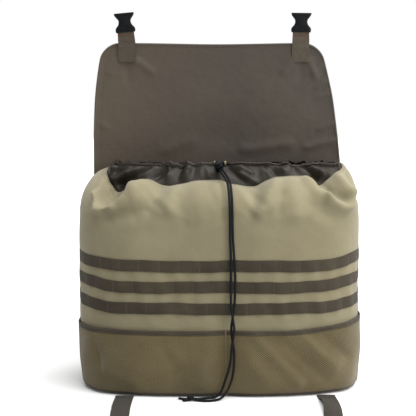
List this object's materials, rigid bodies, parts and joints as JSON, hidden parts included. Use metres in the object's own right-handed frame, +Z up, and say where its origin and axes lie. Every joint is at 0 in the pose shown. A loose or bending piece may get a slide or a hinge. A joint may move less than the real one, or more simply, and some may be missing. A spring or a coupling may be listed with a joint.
{
  "type": "hunting backpack",
  "caption": "Wide soft backpack with a drawstring throat, a buckle-down flap lid held open, load webbing across the front and mesh pockets at its foot.",
  "frame": {"origin": "on the ground under the middle of the bag", "axes": "+Z up, front of the bag towards -Y, +X across the bag"},
  "size_m": [0.6196, 0.8011, 0.806],
  "materials": {
    "tan_polyester": "coated plain-weave polyester, matt",
    "throat_nylon": "thin coated nylon, soft sheen",
    "lid_fabric": "coated plain-weave polyester, matt",
    "pack_cloth_back": "spacer mesh and pack cloth over foam",
    "webbing": "ribbed woven polyester webbing",
    "pocket_mesh": "open diamond-knit mesh",
    "cord": "braided polyester cord",
    "buckle_acetal": "moulded acetal, satin",
    "eyelet_brass": "antiqued brass ring",
    "spring_steel": "bright spring wire",
    "frame_plastic": "extruded polyethylene sheet"
  },
  "bodies": {
    "bag": {"front_panel": "tan_polyester", "right_gusset": "tan_polyester", "back_panel": "tan_polyester", "left_gusset": "tan_polyester", "bottom_panel": "tan_polyester", "shoulder_panel": "tan_polyester", "throat_skirt": "throat_nylon", "drawcord_hem": "throat_nylon", "eyelet_left": "eyelet_brass", "eyelet_right": "eyelet_brass", "drawcord_loop": "cord", "drawcord_tail_left": "cord", "drawcord_tail_right": "cord", "drawcord_knot": "cord", "cord_lock_barrel": "buckle_acetal", "cord_lock_spring": "spring_steel", "webbing_row_1": "webbing", "webbing_row_2": "webbing", "webbing_row_3": "webbing", "mesh_pocket_left": "pocket_mesh", "pocket_binding_left": "webbing", "mesh_pocket_right": "pocket_mesh", "pocket_binding_right": "webbing", "lid_root_tape": "lid_fabric", "foot_strap_tab_left": "webbing", "foot_strap_tab_right": "webbing", "frame_sheet": "frame_plastic", "back_pad": "pack_cloth_back", "harness_top_tab_left": "webbing", "harness_foot_tab_left": "webbing", "harness_top_tab_right": "webbing", "harness_foot_tab_right": "webbing", "haul_handle_tab_left": "webbing", "haul_handle_tab_right": "webbing"},
    "lid": {"lid_lining": "lid_fabric", "lid_outer_panel": "lid_fabric", "lid_strap_left": "webbing", "lid_strap_right": "webbing"},
    "lid_buckle_left": {"buckle_webbing_left": "webbing", "female_buckle_left": "buckle_acetal"},
    "lid_buckle_right": {"buckle_webbing_right": "webbing", "female_buckle_right": "buckle_acetal"},
    "foot_strap_left": {"foot_strap_left": "webbing", "male_buckle_left": "buckle_acetal"},
    "foot_strap_right": {"foot_strap_right": "webbing", "male_buckle_right": "buckle_acetal"},
    "prong_left_outer": {"prong_left_outer": "buckle_acetal"},
    "prong_left_inner": {"prong_left_inner": "buckle_acetal"},
    "prong_right_outer": {"prong_right_outer": "buckle_acetal"},
    "prong_right_inner": {"prong_right_inner": "buckle_acetal"},
    "shoulder_strap_left": {"shoulder_strap_left": "pack_cloth_back", "ladder_lock_left": "buckle_acetal", "harness_webbing_left": "webbing"},
    "shoulder_strap_right": {"shoulder_strap_right": "pack_cloth_back", "ladder_lock_right": "buckle_acetal", "harness_webbing_right": "webbing"},
    "haul_handle": {"haul_handle": "webbing"},
    "lock_plunger": {"cord_lock_plunger": "buckle_acetal"}
  },
  "joints": [
    {"name": "lid_hinge", "type": "hinge", "parent": "bag", "child": "lid", "pos_m": [0, 0.1312, 0.4846], "axis": [1, 0, 0], "range_deg": [-90, 84]},
    {"name": "lid_buckle_left_fold", "type": "hinge", "parent": "lid", "child": "lid_buckle_left", "pos_m": [-0.206, 0.126, 0.74], "axis": [1, 0, 0], "range_deg": [-80, 100]},
    {"name": "lid_buckle_right_fold", "type": "hinge", "parent": "lid", "child": "lid_buckle_right", "pos_m": [0.185, 0.126, 0.74], "axis": [1, 0, 0], "range_deg": [-80, 100]},
    {"name": "foot_strap_left_lift", "type": "hinge", "parent": "bag", "child": "foot_strap_left", "pos_m": [-0.198, -0.142, 0.001], "axis": [-1, 0, 0], "range_deg": [0, 85]},
    {"name": "prong_left_outer_squeeze", "type": "hinge", "parent": "foot_strap_left", "child": "prong_left_outer", "pos_m": [-0.2114, -0.5661, 0.0044], "axis": [0, 0, 1], "range_deg": [0, 8], "stiffness_Nm_per_rad": 1.5, "springref_deg": -2.86},
    {"name": "prong_left_inner_squeeze", "type": "hinge", "parent": "foot_strap_left", "child": "prong_left_inner", "pos_m": [-0.1846, -0.5661, 0.0044], "axis": [0, 0, -1], "range_deg": [0, 8], "stiffness_Nm_per_rad": 1.5, "springref_deg": -2.86},
    {"name": "foot_strap_right_lift", "type": "hinge", "parent": "bag", "child": "foot_strap_right", "pos_m": [0.224, -0.142, 0.001], "axis": [-1, 0, 0], "range_deg": [0, 85]},
    {"name": "prong_right_outer_squeeze", "type": "hinge", "parent": "foot_strap_right", "child": "prong_right_outer", "pos_m": [0.2374, -0.5661, 0.0044], "axis": [0, 0, -1], "range_deg": [0, 8], "stiffness_Nm_per_rad": 1.5, "springref_deg": -2.86},
    {"name": "prong_right_inner_squeeze", "type": "hinge", "parent": "foot_strap_right", "child": "prong_right_inner", "pos_m": [0.2106, -0.5661, 0.0044], "axis": [0, 0, 1], "range_deg": [0, 8], "stiffness_Nm_per_rad": 1.5, "springref_deg": -2.86},
    {"name": "shoulder_strap_left_swing", "type": "hinge", "parent": "bag", "child": "shoulder_strap_left", "pos_m": [-0.072, 0.165, 0.43], "axis": [-0.3482, -0.0368, -0.9367], "range_deg": [-35, 35]},
    {"name": "shoulder_strap_right_swing", "type": "hinge", "parent": "bag", "child": "shoulder_strap_right", "pos_m": [0.072, 0.165, 0.43], "axis": [0.3482, -0.0368, -0.9367], "range_deg": [-35, 35]},
    {"name": "haul_handle_lift", "type": "hinge", "parent": "bag", "child": "haul_handle", "pos_m": [0, 0.1535, 0.442], "axis": [1, 0, 0], "range_deg": [0, 140]},
    {"name": "cord_lock_press", "type": "slide", "parent": "bag", "child": "lock_plunger", "axis": [0.2496, 0.7188, -0.6489], "range_m": [0, 0.002], "stiffness_N_per_m": 600, "springref_m": -0.006, "deforming": ["cord_lock_spring"]}
  ]
}
